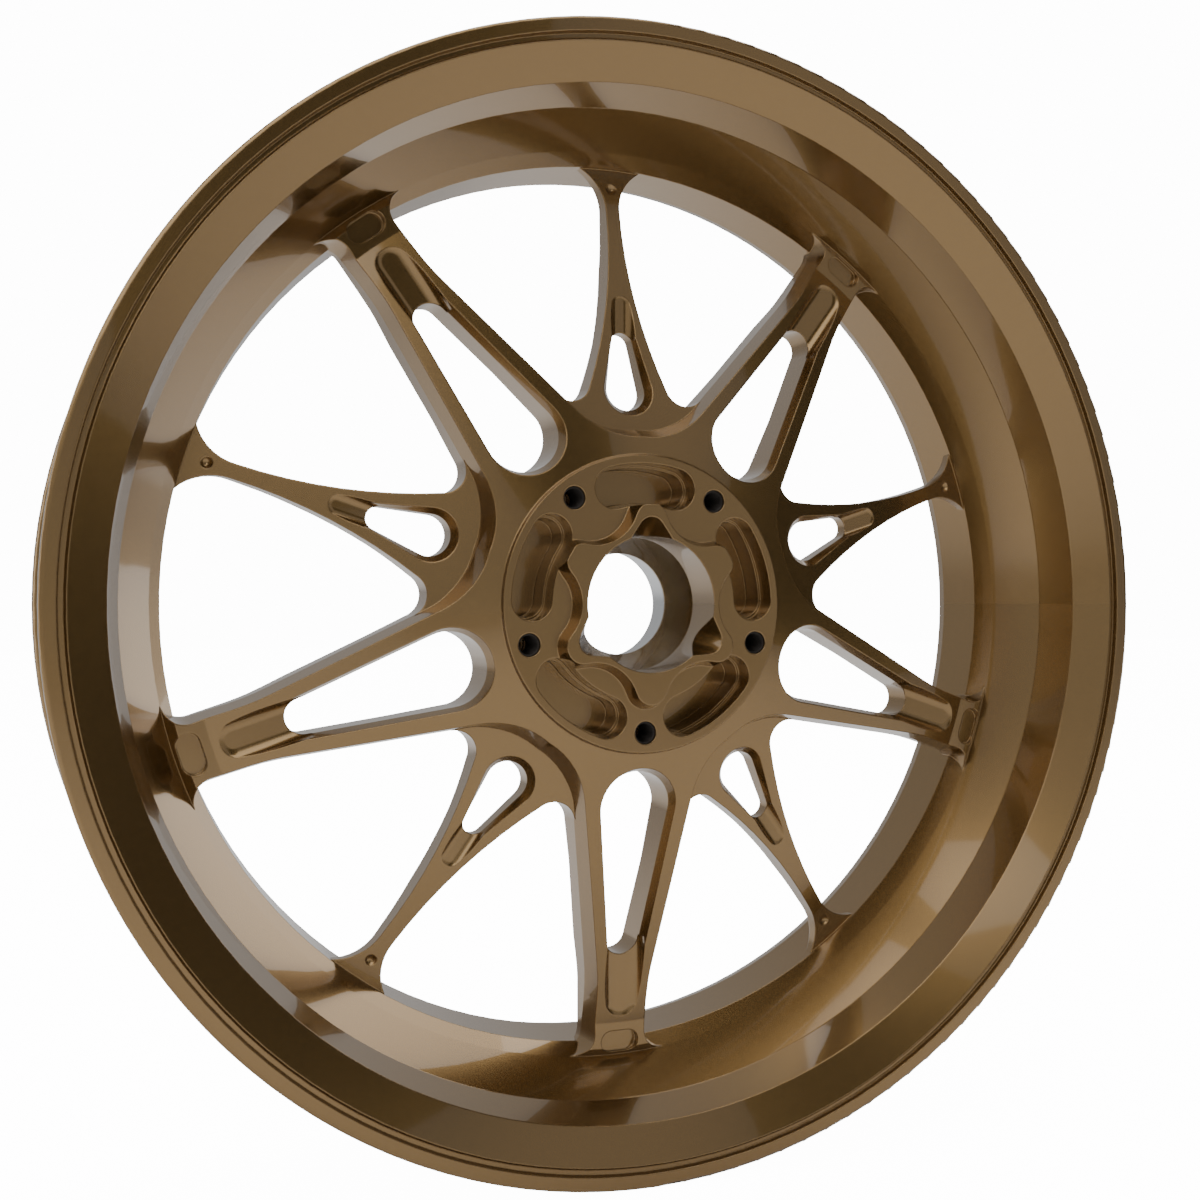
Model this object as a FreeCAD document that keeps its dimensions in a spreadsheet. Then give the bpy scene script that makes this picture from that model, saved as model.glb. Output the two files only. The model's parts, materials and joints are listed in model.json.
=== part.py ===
"""A 17 inch forged racing wheel, held on a stub spindle, as a parametric document.

The wheel turns about the Y axis. Its outboard face, the one with the five disc bolts,
looks along -Y, and +Z is up. The origin is the middle of the rim. Depths are measured
back from the outboard lip of the rim. Millimetres and degrees.
"""
import FreeCAD, Part
import math
import os

import Sketcher

Vector = FreeCAD.Vector
Rotation = FreeCAD.Rotation
Placement = FreeCAD.Placement

DRIVING_SIZES = {
    # rim
    "rim_width": 112.0,
    "bead_radius": 218.3,
    "flange_height": 14.0,
    "flange_width": 11.5,
    "lip_round": 1.5,
    "lip_groove_radius": 223.6,
    "lip_groove_width": 2.8,
    "lip_groove_depth": 1.3,
    "face_radius": 209.2,
    "face_depth": 9.2,
    "step_radius": 204.4,
    "step_depth": 27.0,
    "barrel_mouth_radius": 191.8,
    "barrel_mouth_depth": 46.2,
    "barrel_throat_radius": 187.2,
    "barrel_throat_depth": 53.5,
    "barrel_waist_radius": 185.4,
    "well_wall": 5.1,
    "well_start": 64.0,
    "well_width": 15.0,
    "rear_wall": 6.2,
    # spokes
    "spoke_count": 5.0,
    "dish_start_radius": 61.2,
    "dish_start_depth": 16.5,
    "dish_angle": 12.57,
    "minor_drop": 10.0,
    "root_pad_depth": 42.4,
    "root_pad_end": 188.2,
    "spoke_end_radius": 194.3,
    "arm_angle": 8.9,
    "crescent_radius": 40.0,
    "crescent_apex": 67.3,
    "crescent_draft": 4.6,
    "arm_draft": 2.0,
    "draft_depth": 10.5,
    "arm_straight_end": 150.0,
    "arm_root_half_width": 11.3,
    "arm_root_start": 166.0,
    "arm_flare_start": 181.0,
    "arm_root_flare": 9.5,
    "minor_half_width": 3.1,
    "minor_neck_radius": 168.0,
    "minor_edge_radius": 220.0,
    "minor_foot_flare": 21.5,
    "minor_web_corner": 9.0,
    "minor_end_radius": 192.5,
    "web_rear_depth": 44.0,
    "web_rear_mid_radius": 110.0,
    "web_rear_mid_depth": 47.5,
    "web_rear_rim_radius": 142.0,
    "web_rear_rim_depth": 56.0,
    "web_rear_end_depth": 58.5,
    "loft_margin": 3.0,
    # slots and scoops
    "slot_centre": 84.0,
    "slot_round": 16.8,
    "slot_angle": 8.0,
    "slot_draft": 1.7,
    "slot_draft_depth": 5.0,
    "slot_end": 148.3,
    "scoop_floor_depth": 42.2,
    "scoop_half_width": 8.4,
    "scoop_floor_round": 5.0,
    "scoop_end": 169.0,
    "minor_slot_centre": 89.5,
    "minor_slot_round": 8.5,
    "minor_slot_tip": 110.0,
    "minor_slot_tip_round": 4.8,
    "minor_slot_draft": 2.4,
    "minor_slot_draft_depth": 3.5,
    "minor_scoop_half_width": 5.2,
    "minor_scoop_round": 3.6,
    "minor_scoop_end": 127.5,
    "foot_dimple_radius": 178.5,
    "foot_dimple_ball": 2.6,
    "root_pocket_radius": 185.4,
    "root_pocket_half_length": 8.4,
    "root_pocket_round": 4.6,
    "root_pocket_depth": 3.4,
    # hub
    "hub_face_depth": 14.8,
    "hub_face_radius": 60.6,
    "boss_depth": 8.0,
    "boss_bulge_centre": 34.0,
    "boss_bulge_round": 8.0,
    "boss_waist": 31.0,
    "boss_draft": 2.2,
    "nut_pocket_radius": 27.8,
    "nut_pocket_floor": 29.0,
    "lobe_root_centre": 10.0,
    "lobe_root_round": 17.0,
    "lobe_centre": 30.0,
    "lobe_round": 6.0,
    "lobe_depth": 13.0,
    "lobe_fall": 9.0,
    "lip_bore_radius": 21.4,
    "lip_front_depth": 43.4,
    "kidney_radius": 48.8,
    "kidney_half_width": 8.6,
    "kidney_angle": 16.0,
    "kidney_ledge_depth": 9.0,
    "kidney_ledge": 1.3,
    "kidney_depth": 20.0,
    "bolt_circle_radius": 52.5,
    "bolt_thread_radius": 4.0,
    "insert_wall": 0.7,
    "insert_length": 16.0,
    "insert_recess": 1.0,
    "bolt_hole_depth": 22.0,
    "hub_barrel_radius": 52.0,
    "hub_rear_depth": 92.0,
    "hub_disc_rear_depth": 44.0,
    "hub_shoulder": 3.4,
    # bearings and what holds them
    "outboard_bore_radius": 22.5,
    "outboard_outer_radius": 34.0,
    "outboard_width": 12.0,
    "outboard_ball_radius": 3.175,
    "outboard_ball_count": 17.0,
    "outboard_seat_depth": 45.6,
    "inboard_bore_radius": 35.0,
    "inboard_outer_radius": 45.0,
    "inboard_width": 10.0,
    "inboard_ball_radius": 2.778,
    "inboard_ball_count": 25.0,
    "inboard_seat_depth": 70.0,
    "outboard_land_gap": 5.0,
    "inboard_land_gap": 4.0,
    "race_clearance": 0.03,
    "seat_gap": 0.01,
    "cage_half_thickness": 1.1,
    "cage_rim": 0.7,
    "seal_inset": 0.4,
    "sleeve_wall": 3.0,
    "sleeve_clearance": 0.6,
    "circlip_lug_angle": 3.5,
    "circlip_lug_radius": 2.6,
    "valve_spot_depth": 0.9,
    "valve_spot_radius": 8.6,
    "valve_core_length": 17.0,
    "valve_spring_wire": 0.2,
    "valve_spring_pitch": 1.6,
    "cage_clearance": 0.15,
    "seal_thickness": 0.8,
    "running_clearance": 0.1,
    "circlip_thickness": 2.5,
    "circlip_groove_depth": 1.75,
    "circlip_ring_width": 4.2,
    "circlip_gap": 24.0,
    "groove_clearance": 0.1,
    "dust_seal_radius": 46.0,
    "dust_seal_width": 7.0,
    "dust_seal_lip_radius": 37.6,
    "garter_wire_radius": 0.6,
    # tyre valve
    "valve_angle": 198.0,
    "valve_depth": 71.5,
    "valve_shank_radius": 4.0,
    "valve_hole_clearance": 0.15,
    "valve_head_radius": 7.5,
    "valve_head_height": 2.2,
    "valve_gasket_height": 1.6,
    "valve_length": 33.0,
    "valve_nut_half_flats": 6.0,
    "valve_nut_height": 4.5,
    "valve_washer_height": 1.0,
    "valve_core_radius": 2.35,
    "valve_pin_radius": 0.65,
    "valve_cap_radius": 4.9,
    "valve_cap_length": 11.0,
}

doc = FreeCAD.newDocument("racing_wheel")
sheet = doc.addObject("Spreadsheet::Sheet", "Sizes")
for row, (size_name, size_value) in enumerate(DRIVING_SIZES.items(), start=1):
    sheet.set(f"A{row}", size_name)
    sheet.set(f"B{row}", str(size_value))
    sheet.setAlias(f"B{row}", size_name)
doc.recompute()


class Size:
    """A value together with the spreadsheet formula that it comes from."""

    def __init__(self, value, formula):
        self.value = value
        self.formula = formula

    def __add__(self, other):
        other = as_size(other)
        return Size(self.value + other.value, f"({self.formula} + {other.formula})")

    def __sub__(self, other):
        other = as_size(other)
        return Size(self.value - other.value, f"({self.formula} - {other.formula})")

    def __mul__(self, other):
        other = as_size(other)
        return Size(self.value * other.value, f"({self.formula} * {other.formula})")

    def __truediv__(self, other):
        other = as_size(other)
        return Size(self.value / other.value, f"({self.formula} / {other.formula})")

    def __neg__(self):
        return Size(-self.value, f"(-1 * {self.formula})")


def as_size(number):
    return number if isinstance(number, Size) else Size(float(number), repr(float(number)))


def sheet_size(name):
    return Size(float(sheet.get(name)), "Sizes." + name)


def cos(angle):
    return Size(math.cos(math.radians(angle.value)), f"cos({angle.formula})")


def sin(angle):
    return Size(math.sin(math.radians(angle.value)), f"sin({angle.formula})")


def tan(angle):
    return Size(math.tan(math.radians(angle.value)), f"tan({angle.formula})")


def root(number):
    return Size(math.sqrt(number.value), f"sqrt({number.formula})")


class NamedSizes:
    """Every cell of the sheet by its own name."""


size = NamedSizes()
for size_name in DRIVING_SIZES:
    setattr(size, size_name, sheet_size(size_name))

ZERO = as_size(0)
FULL_TURN = 360.0
HALF_WIDTH = size.rim_width / 2
MINOR_TURN = as_size(180) / size.spoke_count
DISH_TILT = size.dish_angle.value


def along(depth):
    """The place along the axle of a depth behind the outboard lip."""
    return as_size(depth) - HALF_WIDTH


def dish_depth(radius):
    """The depth of the dished front face of the major spokes at a radius."""
    return size.dish_start_depth + (as_size(radius) - size.dish_start_radius) * tan(size.dish_angle)


# ---- sketch helpers -------------------------------------------------------------------

def origin_plane(body, role):
    return [item for item in body.Origin.OriginFeatures if item.Role == role][0]


def new_body(label):
    body = doc.addObject("PartDesign::Body", label)
    body.Label = label
    body.AllowCompound = True
    return body


def arc_between(start, end, radius, turn):
    """The short arc from start to end; turn is 1 for anticlockwise and -1 for clockwise."""
    middle = (start + end) * 0.5
    chord = end - start
    rise = math.sqrt(max(radius * radius - chord.Length ** 2 / 4.0, 0.0))
    left = Vector(-chord.y, chord.x, 0).normalize()
    centre = middle + left * (rise * turn)
    first, last = (start, end) if turn > 0 else (end, start)
    first_angle = math.atan2(first.y - centre.y, first.x - centre.x)
    last_angle = math.atan2(last.y - centre.y, last.x - centre.x)
    circle = Part.Circle(centre, Vector(0, 0, 1), radius)
    return Part.ArcOfCircle(circle, first_angle, last_angle)


def place_sketch(sketch, body, role, offset=None, tilt=0.0):
    """Attach a sketch to an origin plane, moved along its normal and tipped about its x axis."""
    sketch.AttachmentSupport = [(origin_plane(body, role), "")]
    sketch.MapMode = "FlatFace"
    lift = as_size(0 if offset is None else offset)
    sketch.AttachmentOffset = Placement(Vector(0, 0, lift.value), Rotation(Vector(1, 0, 0), tilt))
    if offset is not None:
        sketch.setExpression("AttachmentOffset.Base.z", lift.formula)


def draw_outline(body, name, role, corners, offset=None, tilt=0.0):
    """A closed, fully bound outline.

    Each corner is (x, y) or (x, y, radius, turn), where the last two make the side that
    starts at that corner an arc.
    """
    sketch = body.newObject("Sketcher::SketchObject", name)
    place_sketch(sketch, body, role, offset, tilt)
    points = [Vector(as_size(corner[0]).value, as_size(corner[1]).value, 0) for corner in corners]
    count = len(corners)
    sides = []
    constraints = []
    formulas = []
    start_of = []
    end_of = []
    for index, corner in enumerate(corners):
        start, end = points[index], points[(index + 1) % count]
        if len(corner) > 2:
            radius, turn = as_size(corner[2]), corner[3]
            sides.append(arc_between(start, end, radius.value, turn))
            start_of.append(1 if turn > 0 else 2)
            end_of.append(2 if turn > 0 else 1)
        else:
            sides.append(Part.LineSegment(start, end))
            start_of.append(1)
            end_of.append(2)
    for index, corner in enumerate(corners):
        following = (index + 1) % count
        constraints.append(Sketcher.Constraint(
            "Coincident", index, end_of[index], following, start_of[following]))
    for index, corner in enumerate(corners):
        for kind, axis, coordinate in (("DistanceX", -2, corner[0]), ("DistanceY", -1, corner[1])):
            coordinate = as_size(coordinate)
            if abs(coordinate.value) < 1e-9:
                constraints.append(Sketcher.Constraint("PointOnObject", index, start_of[index], axis))
            else:
                formulas.append((len(constraints), coordinate.formula))
                constraints.append(Sketcher.Constraint(
                    kind, -1, 1, index, start_of[index], coordinate.value))
        if len(corner) > 2:
            radius = as_size(corner[2])
            formulas.append((len(constraints), radius.formula))
            constraints.append(Sketcher.Constraint("Radius", index, radius.value))
    sketch.addGeometry(sides, False)
    sketch.addConstraint(constraints)
    for index, formula in formulas:
        sketch.setExpression(f"Constraints[{index}]", formula)
    return sketch


def draw_circle(body, name, role, centre, radius, offset=None, tilt=0.0):
    sketch = body.newObject("Sketcher::SketchObject", name)
    place_sketch(sketch, body, role, offset, tilt)
    x, y, radius = as_size(centre[0]), as_size(centre[1]), as_size(radius)
    sketch.addGeometry(Part.Circle(Vector(x.value, y.value, 0), Vector(0, 0, 1), radius.value), False)
    sketch.addConstraint(Sketcher.Constraint("Radius", 0, radius.value))
    sketch.setExpression("Constraints[0]", radius.formula)
    for kind, axis, coordinate in (("DistanceX", -2, x), ("DistanceY", -1, y)):
        if abs(coordinate.value) < 1e-9:
            sketch.addConstraint(Sketcher.Constraint("PointOnObject", 0, 3, axis))
        else:
            index = sketch.addConstraint(Sketcher.Constraint(kind, -1, 1, 0, 3, coordinate.value))
            sketch.setExpression(f"Constraints[{index}]", coordinate.formula)
    return sketch


def turn_profile(body, kind, name, corners):
    """Revolve an outline of (radius, depth) corners about the axle."""
    flat = [(corner[0], along(corner[1])) + tuple(corner[2:]) for corner in corners]
    sketch = draw_outline(body, name + "_section", "XY_Plane", flat)
    feature = body.newObject(kind, name)
    feature.Profile = (sketch, [""])
    feature.ReferenceAxis = (sketch, ["V_Axis"])
    feature.Angle = FULL_TURN
    return feature


def extrude(body, kind, name, sketch, length, forward=True):
    """Pad or pocket a sketch parallel to the axle, towards the front when forward is set."""
    feature = body.newObject(kind, name)
    feature.Profile = (sketch, [""])
    feature.UseCustomVector = True
    feature.Direction = Vector(0, -1, 0) if forward else Vector(0, 1, 0)
    feature.AlongSketchNormal = False
    feature.Length = as_size(length).value
    feature.setExpression("Length", as_size(length).formula)
    return feature


def loft(body, kind, name, first, last):
    feature = body.newObject(kind, name)
    feature.Profile = (first, [""])
    feature.Sections = [(last, [""])]
    feature.Ruled = True
    return feature


def around_axle(body, name, features, count):
    """Repeat features evenly about the axle."""
    pattern = body.newObject("PartDesign::PolarPattern", name)
    pattern.Originals = features
    pattern.Axis = (origin_plane(body, "Y_Axis"), [""])
    pattern.Angle = FULL_TURN
    pattern.Occurrences = int(as_size(count).value)
    pattern.setExpression("Occurrences", as_size(count).formula)
    body.Tip = pattern
    return pattern


# ---- outlines of the spokes ---------------------------------------------------------------
# A spoke outline has the distance across the spoke first and the radius second, and is
# drawn towards +Z. flipped() turns it towards -Z.

def mirrored(half):
    """Close a half outline of (x, r, radius, turn) about the spoke's own middle line.

    The half runs outward along the +x side. Its arcs keep their turn on the way back.
    """
    back = []
    for index in range(len(half) - 1, -1, -1):
        arc = tuple(half[index - 1][2:]) if index > 0 else ()
        back.append((-as_size(half[index][0]), half[index][1]) + arc)
    return list(half) + back


def dish_plane(drop):
    """Offset for a sketch on XZ_Plane that, once tilted, lies drop behind the dished face."""
    at_axle = size.dish_start_depth - size.dish_start_radius * tan(size.dish_angle)
    return -along(at_axle + drop)


def on_dish(outline):
    """Stretch an outline so that it has its true size when seen along the axle."""
    stretch = as_size(1) / cos(size.dish_angle)
    return [(x, as_size(r) * stretch) + tuple(rest) for x, r, *rest in outline]


def crescent_centre():
    return size.crescent_apex + size.crescent_radius


def major_spoke_outline(share):
    """Outline of a twin-armed major spoke; share is 0 at the front face and 1 where its
    drafted flanks end."""
    draft = size.arm_draft * share
    apex = size.crescent_apex + size.crescent_draft * share
    flank = size.crescent_radius - draft
    centre_x = crescent_centre() * sin(MINOR_TURN)
    centre_r = crescent_centre() * cos(MINOR_TURN)
    touch_x = centre_x - (size.crescent_radius - draft) * cos(size.arm_angle)
    touch_r = centre_r - (size.crescent_radius - draft) * sin(size.arm_angle)
    end_x = touch_x - (size.arm_straight_end - touch_r) * tan(size.arm_angle)
    root_x = size.arm_root_half_width + draft
    root_bend = (size.arm_root_start - size.arm_straight_end) / sin(size.arm_angle)
    flare_x = root_x + size.arm_root_flare
    rim_r = root(size.spoke_end_radius * size.spoke_end_radius - flare_x * flare_x)
    half = [
        (apex * sin(MINOR_TURN) * 0.8, apex * cos(MINOR_TURN) * 0.8),
        (apex * sin(MINOR_TURN), apex * cos(MINOR_TURN), flank, -1),
        (touch_x, touch_r),
        (end_x, size.arm_straight_end, root_bend, -1),
        (root_x, size.arm_root_start),
        (root_x, size.arm_flare_start, size.arm_root_flare, -1),
        (flare_x, size.arm_flare_start + size.arm_root_flare),
        (flare_x, rim_r),
    ]
    return mirrored(half)


def minor_spoke_outline():
    """Outline of a slim minor spoke with the web that joins it to the hub."""
    wall_angle = MINOR_TURN + size.arm_angle
    wall_touch = crescent_centre() - (size.crescent_radius - size.arm_draft) * sin(wall_angle)
    wall_x = (size.crescent_radius - size.arm_draft) * cos(wall_angle)
    wall_line = wall_x * cos(wall_angle) - wall_touch * sin(wall_angle)
    edge_x = size.minor_half_width + size.minor_edge_radius
    edge_r = size.minor_neck_radius
    corner = size.minor_web_corner
    corner_line = wall_line - corner
    ahead = edge_x * sin(wall_angle) + edge_r * cos(wall_angle)
    aside = edge_x * cos(wall_angle) - edge_r * sin(wall_angle) - corner_line
    reach = size.minor_edge_radius - corner
    run = ahead - root(reach * reach - aside * aside)
    corner_x = corner_line * cos(wall_angle) + run * sin(wall_angle)
    corner_r = run * cos(wall_angle) - corner_line * sin(wall_angle)
    grow = size.minor_edge_radius / reach
    foot_x = size.minor_half_width + size.minor_foot_flare
    rim_r = root(size.minor_end_radius * size.minor_end_radius - foot_x * foot_x)
    half = [
        (size.crescent_apex * sin(MINOR_TURN) * 0.6, size.crescent_apex * 0.88),
        (corner_x + corner * cos(wall_angle) + 3.0, corner_r - corner * sin(wall_angle) - 3.0),
        (corner_x + corner * cos(wall_angle), corner_r - corner * sin(wall_angle), corner, -1),
        (edge_x + (corner_x - edge_x) * grow, edge_r + (corner_r - edge_r) * grow,
         size.minor_edge_radius, -1),
        (size.minor_half_width, size.minor_neck_radius, size.minor_foot_flare, -1),
        (foot_x, size.minor_neck_radius + size.minor_foot_flare),
        (foot_x, rim_r),
    ]
    return mirrored(half)


def teardrop(centre, radius, tip, tip_radius):
    """Two rounds of different size joined by their common tangents."""
    centre, radius, tip, tip_radius = map(as_size, (centre, radius, tip, tip_radius))
    lean = (radius - tip_radius) / (tip - centre)
    upright = root(as_size(1) - lean * lean)
    near_x, near_r = radius * upright, centre + radius * lean
    far_x, far_r = tip_radius * upright, tip + tip_radius * lean
    return [
        (ZERO, centre - radius, radius, 1),
        (near_x, near_r),
        (far_x, far_r, tip_radius, 1),
        (ZERO, tip + tip_radius, tip_radius, 1),
        (-far_x, far_r),
        (-near_x, near_r, radius, 1),
    ]


def flipped(outline):
    """The same outline drawn towards -Z, with its arcs still on the outside."""
    turned = []
    for x, r, *rest in outline:
        turned.append((x, -as_size(r)) + ((rest[0], -rest[1]) if rest else ()))
    return turned


def polar(radius, angle):
    """The point at a radius and at an angle from +Z towards +X, as sketch coordinates."""
    return as_size(radius) * sin(as_size(angle)), as_size(radius) * cos(as_size(angle))


# ---- the forging --------------------------------------------------------------------------

def add_hub_core(body):
    """The turned core of the hub: disc, rear barrel, bearing seats and nut pocket."""
    seat_1 = size.outboard_seat_depth
    seat_1_end = seat_1 + size.outboard_width
    seat_2 = size.inboard_seat_depth
    seat_2_end = seat_2 + size.inboard_width
    groove_start = seat_2_end + size.groove_clearance
    groove_end = groove_start + size.circlip_thickness + size.groove_clearance
    seal_seat = size.hub_rear_depth - size.dust_seal_width - 0.2
    cavity = size.inboard_outer_radius - size.hub_shoulder
    lip_rear = seat_1 - 1.0
    disc = size.crescent_apex - 1.0
    turn_profile(body, "PartDesign::Revolution", "hub_core", [
        (size.nut_pocket_radius, size.hub_face_depth),
        (size.hub_face_radius, size.hub_face_depth),
        (size.dish_start_radius, size.dish_start_depth),
        (disc, dish_depth(disc)),
        (disc, size.hub_disc_rear_depth),
        (size.hub_barrel_radius, size.hub_disc_rear_depth),
        (size.hub_barrel_radius, size.hub_rear_depth - 1.0),
        (size.hub_barrel_radius - 1.0, size.hub_rear_depth),
        (size.dust_seal_radius, size.hub_rear_depth),
        (size.dust_seal_radius, seal_seat),
        (size.inboard_outer_radius, seal_seat),
        (size.inboard_outer_radius, groove_end),
        (size.inboard_outer_radius + size.circlip_groove_depth, groove_end),
        (size.inboard_outer_radius + size.circlip_groove_depth, groove_start),
        (size.inboard_outer_radius, groove_start),
        (size.inboard_outer_radius, seat_2),
        (cavity, seat_2),
        (cavity, seat_1_end + cavity - size.outboard_outer_radius),
        (size.outboard_outer_radius, seat_1_end + 0.5),
        (size.outboard_outer_radius, seat_1),
        (size.outboard_outer_radius - size.hub_shoulder, seat_1),
        (size.outboard_outer_radius - size.hub_shoulder, lip_rear),
        (size.lip_bore_radius, lip_rear),
        (size.lip_bore_radius, size.lip_front_depth),
        (size.nut_pocket_radius, size.nut_pocket_floor),
    ])


def add_spokes(body):
    """Five twin-armed major spokes and five slim minor spokes, on two levels."""
    flank = size.draft_depth
    lead = -size.loft_margin
    lead_share = lead / flank
    front = draw_outline(body, "major_front_outline", "XZ_Plane",
                         on_dish(flipped(major_spoke_outline(lead_share))),
                         dish_plane(lead), DISH_TILT)
    base = draw_outline(body, "major_base_outline", "XZ_Plane",
                        on_dish(flipped(major_spoke_outline(as_size(1)))),
                        dish_plane(flank), DISH_TILT)
    drafted = loft(body, "PartDesign::AdditiveLoft", "major_drafted", base, front)
    straight = extrude(body, "PartDesign::Pad", "major_straight", base,
                       size.web_rear_end_depth - size.dish_start_depth, forward=False)
    doc.recompute()
    around_axle(body, "major_spokes", [drafted, straight], size.spoke_count)
    minor = draw_outline(body, "minor_outline", "XZ_Plane", on_dish(minor_spoke_outline()),
                         dish_plane(size.minor_drop), -DISH_TILT)
    slim = extrude(body, "PartDesign::Pad", "minor_spoke", minor,
                   size.web_rear_end_depth - size.dish_start_depth, forward=False)
    doc.recompute()
    around_axle(body, "minor_spokes", [slim], size.spoke_count)


def trim_web(body):
    """Turn the front of the spokes to the dish and root pads, and their rear to the web line."""
    pad_start = (size.dish_start_radius
                 + (size.root_pad_depth - size.dish_start_depth) / tan(size.dish_angle))
    beyond = size.spoke_end_radius + 10.0
    turn_profile(body, "PartDesign::Groove", "front_of_spokes", [
        (size.nut_pocket_radius + 1.0, size.hub_face_depth),
        (size.hub_face_radius, size.hub_face_depth),
        (size.dish_start_radius, size.dish_start_depth),
        (pad_start, size.root_pad_depth),
        (size.root_pad_end, size.root_pad_depth),
        (size.barrel_mouth_radius, size.barrel_mouth_depth),
        (beyond, size.barrel_mouth_depth),
        (beyond, ZERO),
        (size.nut_pocket_radius + 1.0, ZERO),
    ])
    turn_profile(body, "PartDesign::Groove", "rear_of_spokes", [
        (size.hub_barrel_radius, size.web_rear_depth),
        (size.slot_centre, size.web_rear_depth),
        (size.web_rear_mid_radius, size.web_rear_mid_depth),
        (size.web_rear_rim_radius, size.web_rear_rim_depth),
        (size.barrel_waist_radius - 20.0, size.web_rear_end_depth),
        (beyond, size.web_rear_end_depth),
        (beyond, size.rim_width),
        (size.hub_barrel_radius, size.rim_width),
    ])


def add_rim(body):
    """The rolled rim: flanges, bead seats, well and the conical outboard face."""
    lip = size.bead_radius + size.flange_height
    seat = size.bead_radius
    groove_1 = size.lip_groove_radius
    groove_2 = groove_1 + size.lip_groove_width
    well = size.barrel_waist_radius + size.well_wall
    well_end = size.well_start + size.well_width
    width = size.rim_width
    rear_slope = seat - well
    inner_rear = seat - size.rear_wall
    turn_profile(body, "PartDesign::Revolution", "rim", [
        (lip - size.lip_round, ZERO, size.lip_round, 1),
        (lip, size.lip_round),
        (lip, size.flange_width - 3.0, 3.0, 1),
        (lip - 3.0, size.flange_width),
        (seat + 5.0, size.flange_width, 5.0, -1),
        (seat, size.flange_width + 5.0),
        (seat, size.step_depth + 8.0),
        (seat + 0.8, size.step_depth + 10.0),
        (seat, size.step_depth + 12.0),
        (well + 8.5, size.well_start - 8.0),
        (well, size.well_start),
        (well, well_end),
        (seat - 0.8, well_end + rear_slope * 0.32),
        (seat, width - size.flange_width - 5.0, 5.0, -1),
        (seat + 5.0, width - size.flange_width),
        (lip - 3.0, width - size.flange_width, 3.0, 1),
        (lip, width - size.flange_width + 3.0),
        (lip, width - size.lip_round, size.lip_round, 1),
        (lip - size.lip_round, width),
        (lip - 7.0, width),
        (inner_rear, width - 11.0),
        (inner_rear, well_end + rear_slope * 0.32 + 5.0),
        (size.barrel_waist_radius + 1.2, well_end + 2.5),
        (size.barrel_waist_radius, well_end - 3.0),
        (size.barrel_throat_radius, size.barrel_throat_depth),
        (size.barrel_mouth_radius, size.barrel_mouth_depth),
        (size.step_radius, size.step_depth),
        (size.face_radius, size.face_depth),
        (groove_1 - 0.6, size.lip_groove_depth * 0.6),
        (groove_1 + 0.4, size.lip_groove_depth + 0.9),
        (groove_2 - 0.5, size.lip_groove_depth + 0.9),
        (groove_2, ZERO),
    ])


def cutter_path(body, name, half_width, corner, end, start, reach, count):
    """A scoop milled level with the rim's plane by a round-cornered cutter, ending at end."""
    floor = along(size.scoop_floor_depth)
    top = along(ZERO)
    side = half_width - corner
    section = draw_outline(body, name + "_section", "XY_Plane", [
        (half_width, top),
        (half_width, floor - corner, corner, 1),
        (side, floor),
        (-side, floor, corner, 1),
        (-half_width, floor - corner),
        (-half_width, top),
    ], end * reach)
    run = body.newObject("PartDesign::Pocket", name + "_run")
    run.Profile = (section, [""])
    run.UseCustomVector = True
    run.Direction = Vector(0, 0, -reach)
    run.AlongSketchNormal = False
    run.Length = (end - start).value
    run.setExpression("Length", (end - start).formula)
    half_section = draw_outline(body, name + "_end_section", "XY_Plane", [
        (ZERO, top),
        (half_width, top),
        (half_width, floor - corner, corner, 1),
        (side, floor),
        (ZERO, floor),
    ], end * reach)
    nose = body.newObject("PartDesign::Groove", name + "_end")
    nose.Profile = (half_section, [""])
    nose.ReferenceAxis = (half_section, ["V_Axis"])
    nose.Angle = FULL_TURN
    doc.recompute()
    around_axle(body, name, [run, nose], count)


def cut_major_details(body):
    """Slot between the two arms, the scoop beyond it and the pocket in the root pad."""
    lean = sin(size.slot_angle)
    lower = size.slot_round - size.slot_draft

    def slot_outline(draft):
        tip_round = (lower - (size.slot_end - size.slot_centre) * lean) / (as_size(1) - lean)
        return on_dish(flipped(teardrop(size.slot_centre, lower + draft,
                                        size.slot_end - tip_round, tip_round + draft)))

    lead = size.loft_margin
    wide = size.slot_draft * (size.slot_draft_depth + lead) / size.slot_draft_depth
    mouth = draw_outline(body, "slot_mouth", "XZ_Plane", slot_outline(wide),
                         dish_plane(-lead), DISH_TILT)
    throat = draw_outline(body, "slot_throat", "XZ_Plane", slot_outline(ZERO),
                          dish_plane(size.slot_draft_depth), DISH_TILT)
    drafted = loft(body, "PartDesign::SubtractiveLoft", "slot_drafted", mouth, throat)
    through = extrude(body, "PartDesign::Pocket", "slot_through", throat, size.rim_width / 2,
                      forward=False)
    doc.recompute()
    around_axle(body, "slots", [drafted, through], size.spoke_count)
    cutter_path(body, "scoop", size.scoop_half_width, size.scoop_floor_round, size.scoop_end,
                size.slot_end - 8.0, -1, size.spoke_count)
    straight = size.root_pocket_half_length - size.root_pocket_round
    low = size.root_pocket_radius - size.root_pocket_round
    high = size.root_pocket_radius + size.root_pocket_round
    pocket = draw_outline(body, "root_pocket_outline", "XZ_Plane", flipped([
        (straight, low, size.root_pocket_round, 1),
        (straight, high),
        (-straight, high, size.root_pocket_round, 1),
        (-straight, low),
    ]), -along(size.root_pad_depth - 20.0))
    cut = extrude(body, "PartDesign::Pocket", "root_pocket", pocket,
                  as_size(20) + size.root_pocket_depth, forward=False)
    doc.recompute()
    around_axle(body, "root_pockets", [cut], size.spoke_count)


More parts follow.
